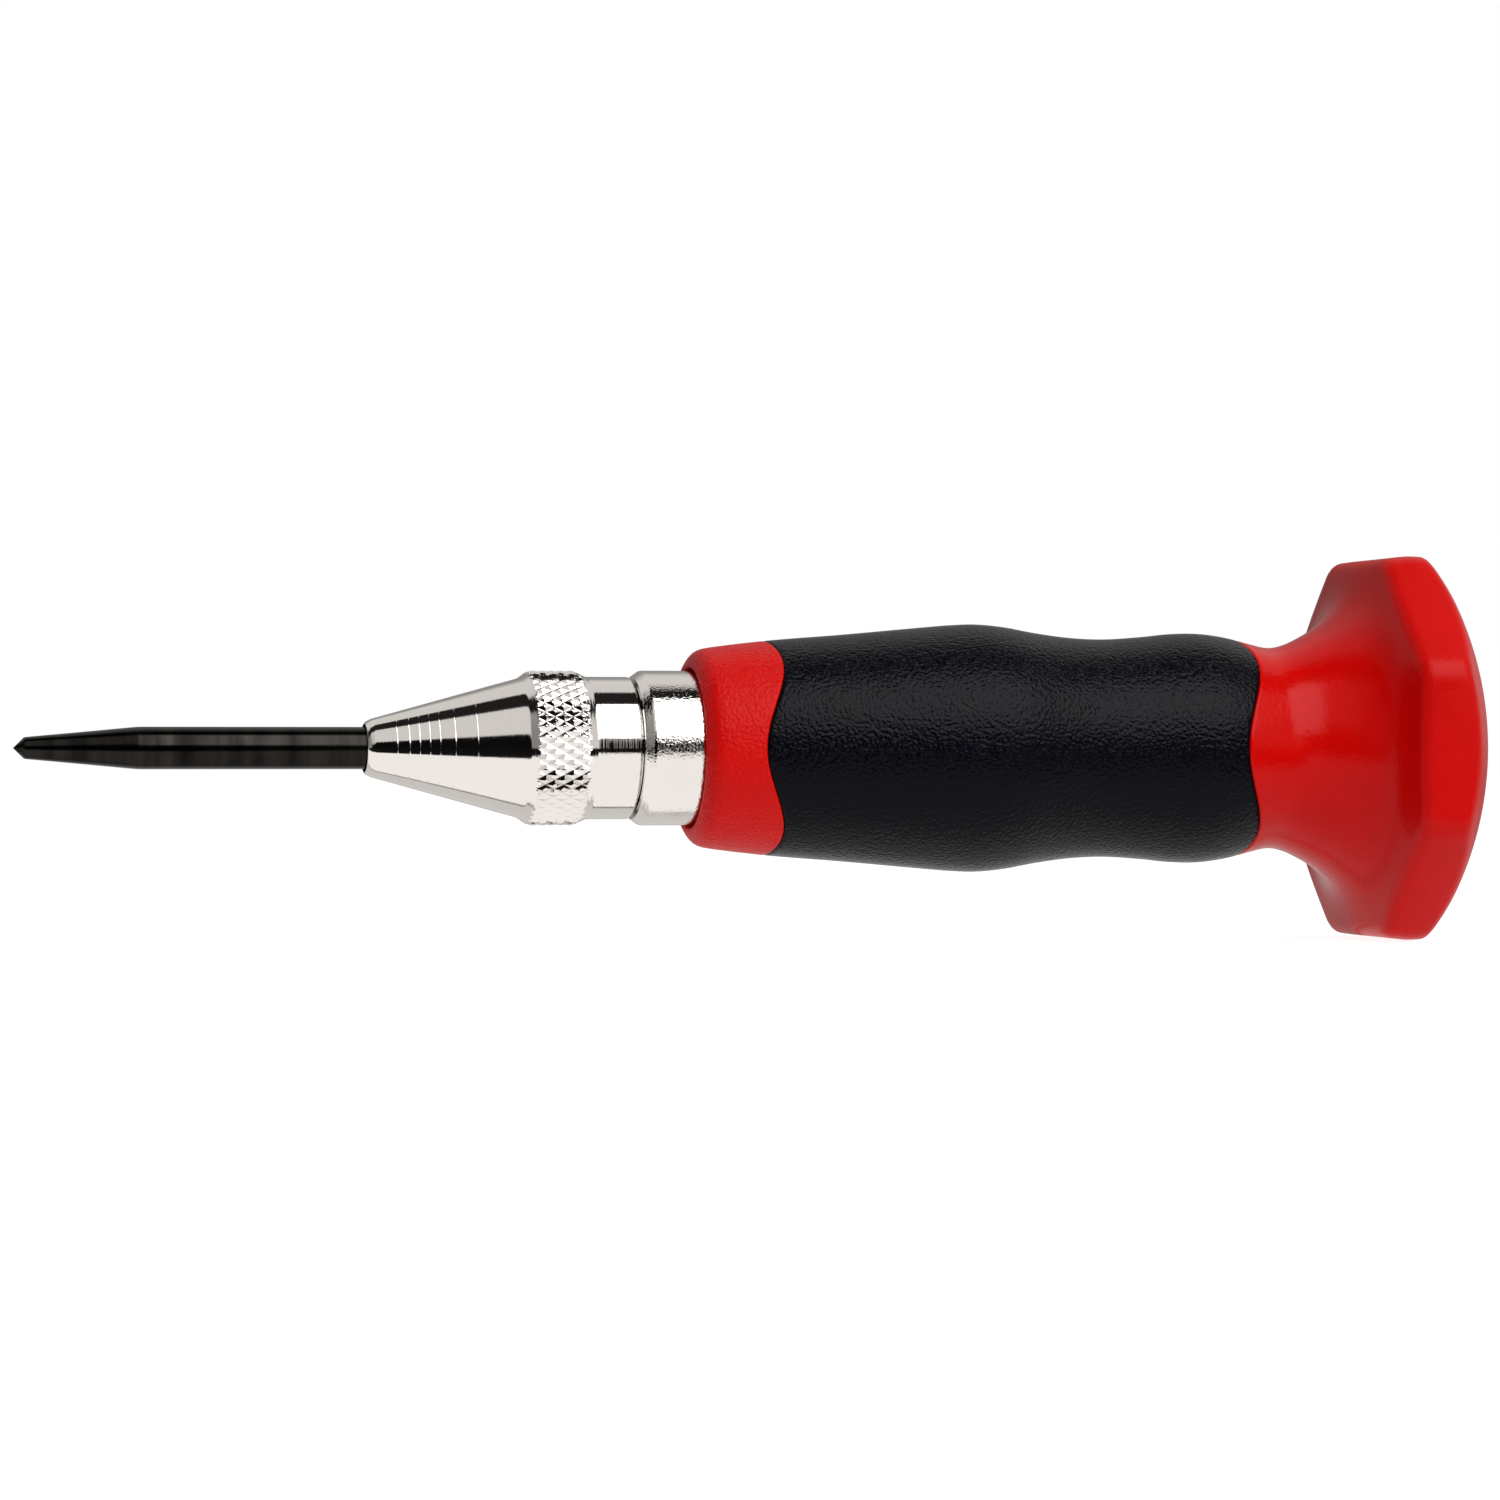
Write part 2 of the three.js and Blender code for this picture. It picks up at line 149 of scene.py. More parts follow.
room = bpy.data.worlds.new("room")
scene.world = room
walls = Wiring(room)
across, depth, height = walls.axes("Generated")
turn = height.maths("ARCTAN2", height, depth * -1) * (180 / math.pi)
bearing = across.maths("ARCTAN2", across, depth * -1) * (180 / math.pi)
# The dark oval behind the camera, in degrees: its middle is above the floor and towards the point.
DARK_ABOVE = 3
DARK_ASIDE = 17
DARK_HALF_HEIGHT = 21
DARK_HALF_WIDTH = 36
upwards = (turn - DARK_ABOVE) / DARK_HALF_HEIGHT
sideways = (bearing + DARK_ASIDE) / DARK_HALF_WIDTH
lit = walls.smooth((upwards**2 + sideways**2) ** 0.5, 0.95, 1.04)
overhead_gap = walls.smooth(turn, 73, 74.5) * (1 - walls.smooth(turn, 101, 103))
from_point_end = 0.35 + walls.smooth(across, -0.85, -0.5) * 0.65
straight_back = walls.smooth(depth, 0.68, 0.9)
WALL_GLOW = 0.74
DARK_GLOW = 0.004
glow = WALL_GLOW * lit * from_point_end * (1 - overhead_gap * 0.985) * (1 - straight_back * 0.6) + DARK_GLOW
is_camera = walls.node("ShaderNodeLightPath", output="Is Camera Ray")
warm = walls.node("ShaderNodeBackground", {}, {"Color": (1, 0.98, 0.955, 1), "Strength": glow})
white = walls.node("ShaderNodeBackground", {}, {"Color": (1, 1, 1, 1), "Strength": 1.0})
surround = walls.node("ShaderNodeMixShader", {}, {0: is_camera, 1: warm, 2: white})
walls.node("ShaderNodeOutputWorld", {}, {"Surface": surround})

SOFTBOX_ANGLE = math.radians(45)
SOFTBOX_DISTANCE = 0.315
SOFTBOX_WIDTH = 0.345
SOFTBOX_HEIGHT = 0.35
SOFTBOX_RADIANCE = 3.1
bpy.ops.object.light_add(
    type="AREA",
    location=(
        0.130,
        -SOFTBOX_DISTANCE * math.cos(SOFTBOX_ANGLE),
        SOFTBOX_DISTANCE * math.sin(SOFTBOX_ANGLE),
    ),
    rotation=(math.pi / 2 - SOFTBOX_ANGLE, 0, 0),
)
softbox = bpy.context.object
softbox.name = "softbox"
softbox.data.shape = "RECTANGLE"
softbox.data.size = SOFTBOX_WIDTH
softbox.data.size_y = SOFTBOX_HEIGHT
softbox.data.energy = SOFTBOX_RADIANCE * math.pi * SOFTBOX_WIDTH * SOFTBOX_HEIGHT
softbox.visible_camera = False


# The floor is a pale sheet with an even glow as the camera sees it. In reflections, and in the light it
# throws on the tool, it is painted light. A glowing patch stands in for a white card before the tool, its
# far edge right under the tool's axis. A thin painted dark line runs just behind that edge, and the floor
# behind glows less and fades far back. The floor nearer the camera than the patch is painted dark, as
# painted shade.
FLOOR_LEVEL = -0.0206
PAINTED_CARD_GLOW = 1.05
FLOOR_GLOW = 0.68
bpy.ops.object.select_all(action="DESELECT")
bpy.ops.mesh.primitive_plane_add(size=1)
floor = bpy.context.object
floor.name = floor.data.name = "floor"
bpy.ops.object.mode_set(mode="EDIT")
bpy.ops.mesh.select_all(action="SELECT")
bpy.ops.transform.resize(value=(6, 6, 1), center_override=(0, 0, 0))
bpy.ops.transform.translate(value=(0, 0, FLOOR_LEVEL))
bpy.ops.mesh.subdivide(number_cuts=3)
bpy.ops.object.mode_set(mode="OBJECT")
paper = bpy.data.materials.new("paper")
sheet = Wiring(paper)
across, depth = sheet.axes()[:2]
# Painted light: the glowing patch that stands in for a white card, with painted shade on the floor before
# it.
painted_card_front = -0.063 - sheet.smooth(across, -0.06, 0.038) * 0.105 + sheet.smooth(across, 0.058, 0.084) * 0.112
on_painted_card = sheet.smooth(depth - painted_card_front, -0.003, 0.003) * (1 - sheet.smooth(depth, 0.0012, 0.0016))
behind = sheet.smooth(depth, 0.0021, 0.0026)
far_back = sheet.smooth(depth, 0.03, 0.1)
# The painted glow seen in reflections: bright on the patch, dark in the thin line behind it and before it,
# dimmer behind.
shown_glow = PAINTED_CARD_GLOW * on_painted_card + FLOOR_GLOW * behind * (1 - far_back * 0.55) + 0.006
fibres = sheet.noise(900)
tint = sheet.node(
    "ShaderNodeMix",
    {"data_type": "RGBA"},
    {"Factor": fibres, 6: (0.33, 0.33, 0.33, 1), 7: (0.36, 0.355, 0.35, 1)},
    2,
)
matt = sheet.node("ShaderNodeBsdfDiffuse", {}, {"Color": tint})
direct = sheet.node("ShaderNodeEmission", {}, {"Strength": 0.9})
shown = sheet.node("ShaderNodeAddShader", {}, {0: matt, 1: direct})
reflected = sheet.node("ShaderNodeEmission", {}, {"Color": (1, 0.98, 0.965, 1), "Strength": shown_glow})
is_camera = sheet.node("ShaderNodeLightPath", output="Is Camera Ray")
paper_look = sheet.node("ShaderNodeMixShader", {}, {0: is_camera, 1: reflected, 2: shown})
sheet.node("ShaderNodeOutputMaterial", {}, {"Surface": paper_look})
floor.data.materials.append(paper)

# ---------------------------------------------------------------- punch bit
# A round bit of tool steel, turned to a long slight taper with a 90 degree point, hardened, ground and
# blackened. It stands in the holder inside the nose, clamped there by a set screw.
MIDDLE = 77.75


def place(station, radius):
    """A point of a profile: millimetres from the bit's tip, and from the tool's axis."""
    return Vector(((station - MIDDLE) / 1000, 0, radius / 1000))


def held(profile, near=0.06):
    """The profile with one more point close to each end of its long stretches, which keep corners crisp."""
    points = [profile[0]]
    for before, after in zip(profile, profile[1:]):
        length = math.dist(before, after)
        if length > 5 * near:
            for share in (near / length, 1 - near / length):
                points.append(tuple(b + (a - b) * share for b, a in zip(before, after)))
        points.append(after)
    return points


def turned(name, points, sides):
    """A turned piece. The profile runs from the axis to the axis, or closes on itself."""
    bpy.ops.object.select_all(action="DESELECT")
    bpy.ops.mesh.primitive_circle_add(vertices=4, radius=0.001)
    piece = bpy.context.object
    piece.name = piece.data.name = name
    bpy.ops.object.mode_set(mode="EDIT")
    bpy.ops.mesh.select_all(action="SELECT")
    bpy.ops.mesh.merge(type="CENTER")
    points = [place(*point) for point in points]
    bpy.ops.transform.translate(value=points[0])
    for before, after in zip(points, points[1:]):
        bpy.ops.mesh.extrude_region_move(TRANSFORM_OT_translate={"value": after - before})
    bpy.ops.mesh.select_all(action="SELECT")
    bpy.ops.mesh.spin(steps=sides, angle=2 * math.pi, center=(0, 0, 0), axis=(1, 0, 0))
    bpy.ops.mesh.select_all(action="SELECT")
    bpy.ops.mesh.remove_doubles(threshold=5e-7)
    bpy.ops.mesh.normals_make_consistent(inside=False)
    bpy.ops.object.mode_set(mode="OBJECT")
    return piece


def corners(piece):
    """The piece's vertices in millimetres, as stations, radii and angles up from the near side."""
    flat = np.zeros(len(piece.data.vertices) * 3)
    piece.data.vertices.foreach_get("co", flat)
    x, y, z = flat.reshape(-1, 3).T * 1000
    return x + MIDDLE, np.hypot(y, z), np.arctan2(z, -y)


def move_corners(piece, stations, radii, angles):
    """Puts the piece's vertices at these stations, radii and angles."""
    spots = np.column_stack([stations - MIDDLE, -radii * np.cos(angles), radii * np.sin(angles)])
    piece.data.vertices.foreach_set("co", (spots / 1000).ravel())
    piece.data.update()


def finish(piece, material, body, nodes, sharp=35):
    """Shades the piece, gives it its material and lets it stand for its CAD nodes."""
    bpy.ops.object.select_all(action="DESELECT")
    piece.select_set(True)
    bpy.context.view_layer.objects.active = piece
    bpy.ops.object.shade_smooth_by_angle(angle=math.radians(sharp))
    piece.data.materials.clear()
    piece.data.materials.append(material)
    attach(piece, body)
    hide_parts(*nodes)


def finished(name, make):
    """A material whose Principled shader takes the sockets that make() returns."""
    material = bpy.data.materials.new(name)
    wiring = Wiring(material)
    shader = wiring.node("ShaderNodeBsdfPrincipled", {}, make(wiring))
    wiring.node("ShaderNodeOutputMaterial", {}, {"Surface": shader})
    return material


def mixed(wiring, factor, low, high):
    """A colour between two others."""
    settings = {"data_type": "RGBA"}
    sockets = {"Factor": factor, 6: (*low, 1), 7: (*high, 1)}
    return wiring.node("ShaderNodeMix", settings, sockets, 2)


def bumped(wiring, height_value, distance):
    """A normal from a height of 0 to 1, with the real depth in metres."""
    return wiring.node("ShaderNodeBump", {}, {"Height": height_value, "Distance": distance})


def round_marks(wiring, spacing, detail=2.0):
    """Fine rings round the tool's axis, from 0 to 1, at about this spacing in metres."""
    along = wiring.axes()[0]
    return wiring.node(
        "ShaderNodeTexNoise",
        {"noise_dimensions": "1D"},
        {"W": along / spacing, "Scale": 1.0, "Detail": detail},
    )


def blackened(wiring):
    bands = round_marks(wiring, 0.0022, 3.0)
    grinding = round_marks(wiring, 0.00008)
    stains = wiring.noise(260, 3.0)
    tone = wiring.smooth(bands * 0.6 + stains * 0.4, 0.3, 0.7)
    return {
        "Base Color": mixed(wiring, tone, (0.008, 0.0075, 0.007), (0.026, 0.024, 0.022)),
        "Metallic": 1.0,
        "Roughness": 0.13 + stains * 0.1,
        "Normal": bumped(wiring, grinding, 1.6e-6),
    }


black_oxide = finished("black_oxide", blackened)
SHANK_R = 2.15
ground_point = [(0, 0), (0.05, 0.06), (0.12, 0.13), (1.0, 1.0), (1.08, 1.07), (1.25, 1.11)]
bit_profile = held(
    [
        *ground_point,
        (4, 1.36),
        (8, 1.73),
        (11.7, 2.08),
        (12.3, 2.13),
        *[(station, SHANK_R) for station in (13, 20, 30, 40, 52.6)],
        (53, 1.75),
        (53, 0),
    ]
)
bit = turned("bit", bit_profile, 96)
finish(bit, black_oxide, "plunger", ["punch_bit"], sharp=30)

# ---------------------------------------------------------------- nose
# The nose is turned from one bar of steel, knurled behind its cone so that fingers can unscrew it, and
# nickel plated. Its threaded spigot screws into the body tube, and an O-ring in its groove keeps it from
# working loose.
KNURL_START = 52.02
KNURL_END = 57.7
KNURL_R = 7.97
DIAMONDS = 44
DIAMOND_LENGTH = 1.9
KNURL_DEPTH = 0.26
STEPS_IN_DIAMOND = 8
DIAMOND_TOP = 0.86  # how far a groove's sides rise, as a share of the way to the middle of a diamond
NOSE_SIDES = DIAMONDS * STEPS_IN_DIAMOND
NECK_R = 7.34
SPIGOT_R = 6.5
GROOVE_R = 5.6
NOSE_BORE_R = 2.45
SPRING_ROOM_R = 4.3
SPIGOT_PITCH = 1.0
THREAD_START = 66.1
THREAD_ROOT_R = 6.2
THREAD_HEIGHT = 0.5
TOOL_MARK_DEPTH = 0.014


def nickel_plate(wiring, peel, rings, roughness):
    marks = round_marks(wiring, 0.00017, 3.0)
    clouds = wiring.noise(160, 3.0)
    dimples = wiring.noise(4200, 2.0)
    rings_normal = wiring.node("ShaderNodeBump", {}, {"Height": marks, "Distance": rings})
    normal = wiring.node("ShaderNodeBump", {}, {"Height": dimples, "Distance": peel, "Normal": rings_normal})
    return {
        "Base Color": mixed(wiring, clouds, (0.79, 0.755, 0.725), (0.83, 0.80, 0.775)),
        "Metallic": 1.0,
        "Roughness": roughness + clouds * 0.03,
        "Normal": normal,
    }


turned_nickel = finished("turned_nickel", lambda w: nickel_plate(w, 1.5e-6, 1.5e-5, 0.05))

cone_front = (36.25, 3.0)
cone_back = (51.45, 7.2)
cone_slope = (cone_back[1] - cone_front[1]) / (cone_back[0] - cone_front[0])


def cone_radius(station):
    """Radius of the cone at this station."""
    return cone_front[1] + (station - cone_front[0]) * cone_slope


# Shallow tool marks left round the cone.
tool_marks = []
for station in (38.4, 39.6, 40.6, 41.6, 42.6, 44.1, 46.3):
    for along, sunk in ((-0.08, 0), (-0.04, 0), (0, TOOL_MARK_DEPTH), (0.04, 0), (0.08, 0)):
        tool_marks.append((station + along, cone_radius(station + along) - sunk))

knurl_rows = round((KNURL_END - KNURL_START) / (DIAMOND_LENGTH / STEPS_IN_DIAMOND))
# Each chamfer of the band: the station and radius of its foot, and the station where it meets the band.
knurl_chamfers = ((51.45, 7.2, 52.5), (58.3, 7.36, 57.06))


def knurl_blank(station):
    """Radius of the band before it is knurled, with a chamfer at each end."""
    radius = KNURL_R
    for foot, foot_radius, top in knurl_chamfers:
        risen = (station - foot) / (top - foot)
        radius = np.minimum(radius, foot_radius + (KNURL_R - foot_radius) * risen)
    return radius


knurl = [
    (station, float(knurl_blank(station)))
    for station in np.linspace(KNURL_START, KNURL_END, knurl_rows + 1)
]
thread = [(THREAD_START + row * SPIGOT_PITCH / 8, SPIGOT_R) for row in range(46)]
nose_profile = [
    (35.5, NOSE_BORE_R),
    (35.5, 2.54),
    (35.6, 2.66),
    (35.8, 2.79),
    (36.05, 2.91),
    cone_front,
    *tool_marks,
    (49, cone_radius(49)),
    (51.1, 7.09),
    (51.4, 7.19),
    (51.5, 7.25),
    *knurl,
    (58.24, 7.4),
    (58.34, 7.35),
    (58.46, NECK_R),
    (60, NECK_R),
    (62.75, NECK_R),
    (63, 7.12),
    (63, SPIGOT_R),
    (63.8, SPIGOT_R),
    (63.8, GROOVE_R),
    (65.6, GROOVE_R),
    (65.6, SPIGOT_R),
    *thread,
    (72, 6.1),
    (72, SPRING_ROOM_R),
    (47.3, SPRING_ROOM_R),
    (47.3, NOSE_BORE_R),
    (35.5, NOSE_BORE_R),
]
nose = turned("nose", held(nose_profile), NOSE_SIDES)

# The knurl's faces each get a middle point, so that its crossing grooves have clean edges.
bpy.ops.object.mode_set(mode="EDIT")
bpy.ops.mesh.select_all(action="DESELECT")
bpy.ops.object.mode_set(mode="OBJECT")
for face in nose.data.polygons:
    station = face.center.x * 1000 + MIDDLE
    reach = math.hypot(face.center.y, face.center.z) * 1000
    face.select = KNURL_START < station < KNURL_END and reach > 7
bpy.ops.object.mode_set(mode="EDIT")
bpy.ops.mesh.poke()
bpy.ops.object.mode_set(mode="OBJECT")

stations, radii, angles = corners(nose)
around = angles / (2 * math.pi) * DIAMONDS
along = (stations - KNURL_START) / DIAMOND_LENGTH
to_groove = [np.abs((turns + 0.5) % 1 - 0.5) * 2 for turns in (around + along, around - along)]
risen = np.minimum(np.minimum(*to_groove), DIAMOND_TOP) / DIAMOND_TOP
on_knurl = (stations > KNURL_START - 0.01) & (stations < KNURL_END + 0.01) & (radii > 7.2)
formed = np.minimum(knurl_blank(stations), KNURL_R - KNURL_DEPTH * (1 - risen))
knurled = np.where(on_knurl, formed, radii)
on_thread = (stations > 66) & (stations < 71.8) & (radii > 6.3)
ridge = np.abs((angles / (2 * math.pi) + stations / SPIGOT_PITCH) % 1 - 0.5) * 2
threaded = np.where(on_thread, THREAD_ROOT_R + THREAD_HEIGHT * np.clip(ridge, 0.15, 0.85), knurled)
move_corners(nose, stations, threaded, angles)
finish(nose, turned_nickel, "nose", ["nose_cone"], sharp=24)

# ---------------------------------------------------------------- body tube
# The body is a length of 16 mm steel bar, bored through, with a cam cone inside and an outer thread at its
# rear end that the handle turns on. It is barrel plated in nickel, which leaves a slight orange peel.
barrel_nickel = finished("barrel_nickel", lambda w: nickel_plate(w, 3.2e-5, 1.0e-6, 0.03))
TUBE_R = 8.0
TUBE_THREAD_R = 6.9
RING_GROOVE_R = 6.2
FRONT_BORE_R = 6.8
HAMMER_BORE_R = 6.3
REAR_BORE_R = 5.5
tube_profile = held(
    [
        (63.3, FRONT_BORE_R),
        (63.3, 7.35),
        (63.4, 7.44),
        (64.1, 7.93),
        *[(station, TUBE_R) for station in (64.3, 66, 72, 84, 100.5)],
        *[(station, TUBE_THREAD_R) for station in (101, 112, 123.5)],
        (123.5, RING_GROOVE_R),
        (125.1, RING_GROOVE_R),
        (125.1, TUBE_THREAD_R),
        (126.5, TUBE_THREAD_R),
        (127, 6.4),
        (127, REAR_BORE_R),
        (95.9, REAR_BORE_R),
        (93.9, HAMMER_BORE_R),
        (79, HAMMER_BORE_R),
        (79, FRONT_BORE_R),
        (63.3, FRONT_BORE_R),
    ]
)
tube = turned("tube", tube_profile, 256)
finish(tube, barrel_nickel, "barrel", ["body_tube"])

# ---------------------------------------------------------------- handle
# The core of the handle is one injection moulding in red plastic: a grained collar at the front, a core
# under the grip, and a smooth neck that flares into an eight-sided palm cap with a domed crown.
HANDLE_SIDES = 288
CAP_FLAT = 20.45
CAP_CORNER = 3.4
DOME_R = 35.9
DOME_CENTRE = 119.22
CAP_FRONT_SIDE = 20.1  # from the axis to the front and the rear of a flat, which leans a little outwards
CAP_REAR_SIDE = 20.3
FLARE_START_R = 13.65
BORE_R = 8.3
INSERT_R = 8.9
SEAT_BORE_R = 5.5
CORE_R = 10  # under the grip


def curve_through(points):
    """A smooth function through [input, output] pairs."""
    inputs, outputs = (np.array(column, float) for column in zip(*points))
    slopes = np.gradient(outputs, inputs)

    def value(at):
        at = np.clip(at, inputs[0], inputs[-1])
        i = np.clip(np.searchsorted(inputs, at) - 1, 0, len(inputs) - 2)
        width = inputs[i + 1] - inputs[i]
        t = (at - inputs[i]) / width
        from_start = (1 + 2 * t) * (1 - t) ** 2 * outputs[i] + t * (1 - t) ** 2 * width * slopes[i]
        to_end = t * t * (3 - 2 * t) * outputs[i + 1] - t * t * (1 - t) * width * slopes[i + 1]
        return from_start + to_end

    return value


outline = curve_through(
    [
        (69.93, 9.74),
        (70.2, 10.0),
        (70.5, 10.18),
        (70.9, 10.31),
        (71.5, 10.42),
        (73, 10.63),
        (77, 11.1),
        (86, 11.86),
        (94, 12.6),
        (97.5, 12.9),
        (100, 13.0),
        (103, 12.76),
        (106.6, 12.14),
        (110.6, 11.64),
        (114, 11.5),
        (118.6, 11.78),
        (122, 12.12),
        (124.6, 12.16),
        (127.4, 11.83),
        (130.7, 11.05),
        (132, 10.76),
        (133.2, 10.7),
        (134.8, 11.03),
        (137, 11.99),
        (138.64, 12.93),
        (139.6, 13.65),
        (140.4, 14.36),
    ]
)
flare = curve_through(
    [
        (12.93, 138.64),
        (13.65, 139.6),
        (14.36, 140.4),
        (15.1, 141.06),
        (15.9, 141.58),
        (16.8, 141.98),
        (18.0, 142.33),
        (19.1, 142.54),
        (20.02, 142.67),
        (21.2, 142.8),
        (22.5, 142.9),
    ]
)


def grip_wave(angle):
    """How far both ends of the grip run forwards or back round the handle."""
    return 0.3 - 1.1 * np.cos(2 * angle) - 0.68 * np.cos(4 * angle)


def cap_reach(angle):
    """From the axis to the side of the cap: eight flats with rounded corners between them."""
    turned_off = np.abs((angle + math.pi / 8) % (math.pi / 4) - math.pi / 8)
    flat_end = CAP_FLAT * math.tan(math.pi / 8) - CAP_CORNER * math.tan(math.pi / 8)
    flat = CAP_FLAT / np.cos(turned_off)
    centre_out, centre_along = CAP_FLAT - CAP_CORNER, flat_end
    towards = centre_out * np.cos(turned_off) + centre_along * np.sin(turned_off)
    inside = towards**2 - centre_out**2 - centre_along**2 + CAP_CORNER**2
    rounded = towards + np.sqrt(np.maximum(inside, 0))
    return np.where(CAP_FLAT * np.tan(turned_off) > flat_end, rounded, flat)


def dome_at(radius):
    """The station of the crown at this distance from the axis."""
    return DOME_CENTRE + math.sqrt(DOME_R**2 - radius * radius)


def cap_meridian(reach):
    """The cap's section for one distance of its side from the axis, from the neck to the crown."""
    front_round = 1.6
    rear_round = 0.8
    side = reach * CAP_FRONT_SIDE / CAP_FLAT
    rear = reach * CAP_REAR_SIDE / CAP_FLAT
    path = []
    for share in np.linspace(0, 1, 15):
        radius = FLARE_START_R + (side - front_round - FLARE_START_R) * share
        path.append((float(flare(radius)), radius))
    corner = (float(flare(side)), side)
    after = (corner[0] + front_round, side + 0.07)
    path += bend(path[-1], corner, after)
    side_end = (dome_at(rear) - rear_round, rear)
    for share in (0.25, 0.5, 0.75):
        bulge = 0.1 * math.sin(math.pi * share)
        station = after[0] + (side_end[0] - after[0]) * share
        path.append((station, after[1] + (side_end[1] - after[1]) * share + bulge))
    path.append(side_end)
    dome_start = (dome_at(rear - rear_round), rear - rear_round)
    path += bend(side_end, (dome_at(rear), rear), dome_start)
    path += [(dome_at(r), r) for r in np.linspace(dome_start[1], 0, 26)[1:]]
    return path


def bend(start, corner, end, steps=6):
    """The points of a rounded corner after its start."""
    rounded = []
    for step in range(1, steps + 1):
        t = step / steps
        weights = ((1 - t) ** 2, 2 * t * (1 - t), t * t)
        weighted = list(zip(weights, (start, corner, end)))
        rounded.append(tuple(sum(weight * point[i] for weight, point in weighted) for i in (0, 1)))
    return rounded


CAP_ROWS = len(cap_meridian(CAP_FLAT))
SPARE_STATION = 200  # the cap's rows are spun here, close together, and then shaped
SPARE_STEP = 0.1
cap_rows = [(SPARE_STATION + row * SPARE_STEP, 20) for row in range(CAP_ROWS - 1)]
grip_front, grip_rear = 76.7, 128.1
step_gap = 0.05
collar_stations = [70.2, 70.5, 70.9, 71.4, 72, 73, 74, 74.5]
bore = [
    (150.75, 0),
    (150.75, SEAT_BORE_R),
    (132.5, SEAT_BORE_R),
    (132.5, BORE_R),
    (120.3, BORE_R),
    (120.3, INSERT_R),
    (105.7, INSERT_R),
    (105.7, BORE_R),
    (86, BORE_R),
    (69.6, BORE_R),
]
core_profile = [
    *held(bore),
    (69.4, 8.36),
    (69.32, 8.48),
    (69.33, 8.62),
    (69.4, 8.82),
    (69.55, 9.14),
    (69.73, 9.46),
    (69.93, 9.74),
    *[(s, float(outline(s))) for s in collar_stations],
    *[(grip_front - 0.6 + i * 0.1, 11.0) for i in range(6)],
    (grip_front - step_gap, 10.95),
    (grip_front - step_gap, CORE_R),
    (100, CORE_R),
    (grip_rear + step_gap, CORE_R),
    (grip_rear + step_gap, 11.6),
    *[(grip_rear + 0.1 + i * 0.1, 11.68) for i in range(6)],
    *[(s, float(outline(s))) for s in np.linspace(130.2, 139.4, 26)],
    *cap_rows,
    (SPARE_STATION + (CAP_ROWS - 1) * SPARE_STEP, 0),
]
core = turned("handle_moulding", core_profile, HANDLE_SIDES)
stations, radii, angles = corners(core)
new_stations, new_radii = stations.copy(), radii.copy()

# The steps at both ends of the grip follow its wave.
for end, side in ((grip_front, -1), (grip_rear, 1)):
    near = (np.abs(stations - end) < 0.9) & (radii > 9)
    new_stations[near] = (stations + grip_wave(angles))[near]
    outer = near & (radii > 10.5)
    away = (stations - end) * side
    lip = 0.14 * np.clip(1 - (away - step_gap) / 0.25, 0, 1) ** 2
    new_radii[outer] = (outline(new_stations) - lip)[outer]
cap_angles = {}
for i in np.nonzero(stations > SPARE_STATION - 0.5)[0]:
    key = round(float(angles[i]), 4)
    if key not in cap_angles:
        cap_angles[key] = cap_meridian(float(cap_reach(angles[i])))
    row = round(float(stations[i] - SPARE_STATION) / SPARE_STEP)
    new_stations[i], new_radii[i] = cap_angles[key][row]
move_corners(core, new_stations, new_radii, angles)


def red_moulding(wiring):
    along, depth_axis = wiring.axes()[:2]
    on_collar = 1 - wiring.smooth(along, 0.004, 0.006)
    on_cap = wiring.smooth(along, 0.0645, 0.0655)
    hide = wiring.noise(2800, 2.0)
    sand = wiring.noise(2400, 2.0)
    grain = on_collar * hide * 3.2 + (1 - on_collar) * sand * 0.6
    seam = 1 - wiring.smooth(abs(depth_axis), 0.00005, 0.0002)
    clouds = wiring.noise(400, 3.0)
    tone = clouds * 0.5 + on_collar * 0.5
    return {
        "Base Color": mixed(wiring, tone, (0.45, 0.0014, 0.0007), (0.6, 0.0022, 0.0012)),
        "Specular IOR Level": 0.11,
        "Roughness": 0.17 + on_collar * 0.14 + on_cap * 0.15 + clouds * 0.04,
        "Normal": bumped(wiring, grain + seam * 0.5 * (1 - on_collar), 5.5e-5),
    }


red_plastic = finished("red_plastic", red_moulding)
finish(core, red_plastic, "handle", ["handle_core"], sharp=50)

# ---------------------------------------------------------------- grip
# The grip is a sleeve of black soft plastic moulded over the core, swelling at the middle and the rear for
# the palm. Its skin has a leather grain from the mould, and both its ends run round the handle in one wave.
grip_rows = 120
SLEEVE_BORE_R = 10.05
sleeve_profile = [
    (grip_front, SLEEVE_BORE_R),
    (grip_front, 10.9),
    (grip_front + 0.05, 11.0),
    (grip_front + 0.15, 11.05),
    (grip_front + 0.3, 11.08),
    *[
        (grip_front + 0.5 + (grip_rear - grip_front - 1) * row / grip_rows, 12)
        for row in range(grip_rows + 1)
    ],
    (grip_rear - 0.3, 11.8),
    (grip_rear - 0.15, 11.78),
    (grip_rear - 0.05, 11.7),
    (grip_rear, 11.6),
    (grip_rear, SLEEVE_BORE_R),
    (grip_front, SLEEVE_BORE_R),
]
sleeve = turned("grip", sleeve_profile, HANDLE_SIDES)
stations, radii, angles = corners(sleeve)
waved = stations + grip_wave(angles)
outer = radii > 10.5
from_end = np.minimum(stations - grip_front, grip_rear - stations)
rounding = 0.16 * np.clip(1 - from_end / 0.3, 0, 1) ** 2
move_corners(sleeve, waved, np.where(outer, outline(waved) - rounding, radii), angles)


